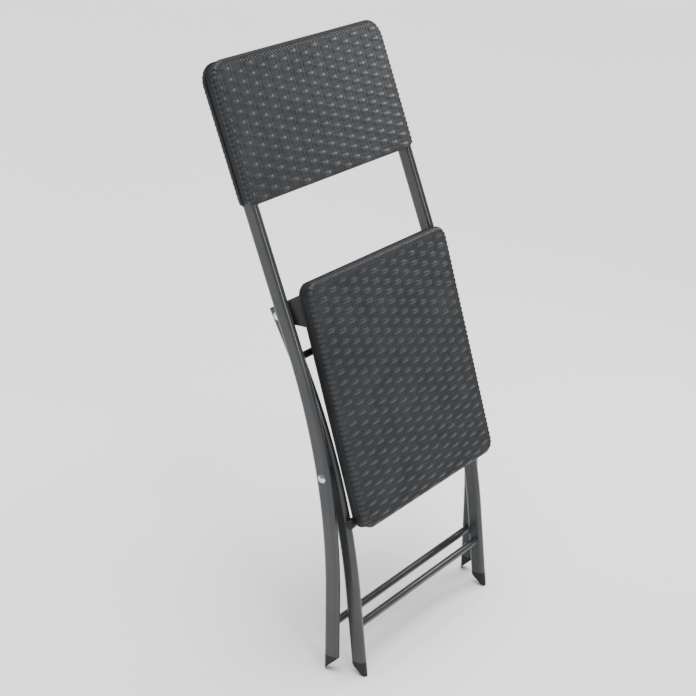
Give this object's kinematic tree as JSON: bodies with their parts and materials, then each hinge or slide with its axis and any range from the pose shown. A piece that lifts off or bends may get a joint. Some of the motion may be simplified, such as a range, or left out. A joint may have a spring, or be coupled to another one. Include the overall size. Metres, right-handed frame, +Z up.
{
  "type": "folding chair",
  "caption": "Folding patio chair: bent flat-oval steel legs crossing in a scissor, moulded rattan-look seat and backrest, folded flat.",
  "frame": {"origin": "middle of the folded chair's box, on the floor it stands on", "axes": "X across the chair, +Y to its rear, +Z up"},
  "size_m": [0.431, 0.3822, 0.9474],
  "materials": {
    "grey_tube": "satin powder coat",
    "black_steel": "satin black powder coat",
    "seat_rattan": "moulded weave relief",
    "backrest_rattan": "moulded weave relief",
    "black_cap": "moulded",
    "nylon": "moulded",
    "zinc_rivet": "bright zinc",
    "black_screw": "black zinc"
  },
  "bodies": {
    "front_frame": {"backrest_panel": "backrest_rattan", "backrest_screws": "black_screw", "front_crossbar": "grey_tube", "front_foot_left": "black_cap", "front_foot_right": "black_cap", "front_leg_left": "grey_tube", "front_leg_right": "grey_tube", "scissor_rivet_left": "zinc_rivet", "scissor_rivet_right": "zinc_rivet", "scissor_spacer_left": "nylon", "scissor_spacer_right": "nylon"},
    "rear_frame": {"rear_crossbar": "grey_tube", "rear_foot_left": "black_cap", "rear_foot_right": "black_cap", "rear_leg_left": "grey_tube", "rear_leg_plug_left": "black_cap", "rear_leg_plug_right": "black_cap", "rear_leg_right": "grey_tube"},
    "seat": {"rest_tube_cap_left": "black_cap", "rest_tube_cap_right": "black_cap", "seat_bracket_left": "black_steel", "seat_bracket_right": "black_steel", "seat_panel": "seat_rattan", "seat_pivot_rivet_left": "zinc_rivet", "seat_pivot_rivet_right": "zinc_rivet", "seat_pivot_washer_left": "nylon", "seat_pivot_washer_right": "nylon", "seat_rail_left": "black_steel", "seat_rail_right": "black_steel", "seat_rest_tube": "black_steel", "seat_screws": "black_screw"},
    "guide": {"guide_rod": "black_steel", "guide_sleeve_left": "nylon", "guide_sleeve_right": "nylon"}
  },
  "joints": [
    {"name": "fold", "type": "hinge", "parent": "front_frame", "child": "rear_frame", "pos_m": [0, 0.09181, 0.342], "axis": [1, 0, 0], "range_deg": [0, 80.3]},
    {"name": "seat_pivot", "type": "hinge", "parent": "rear_frame", "child": "seat", "pos_m": [0, -0.03219, 0.57279], "axis": [1, 0, 0], "range_deg": [0, 37.67]},
    {"name": "guide_slide", "type": "slide", "parent": "seat", "child": "guide", "axis": [0, 0.3697, -0.9291], "range_m": [0, 0.25475]}
  ],
  "couplings": [
    {"joint": "seat_pivot", "follows": "fold", "ratio": 0.46916},
    {"joint": "guide_slide", "follows": "fold", "m_per_rad": 0.18177}
  ]
}
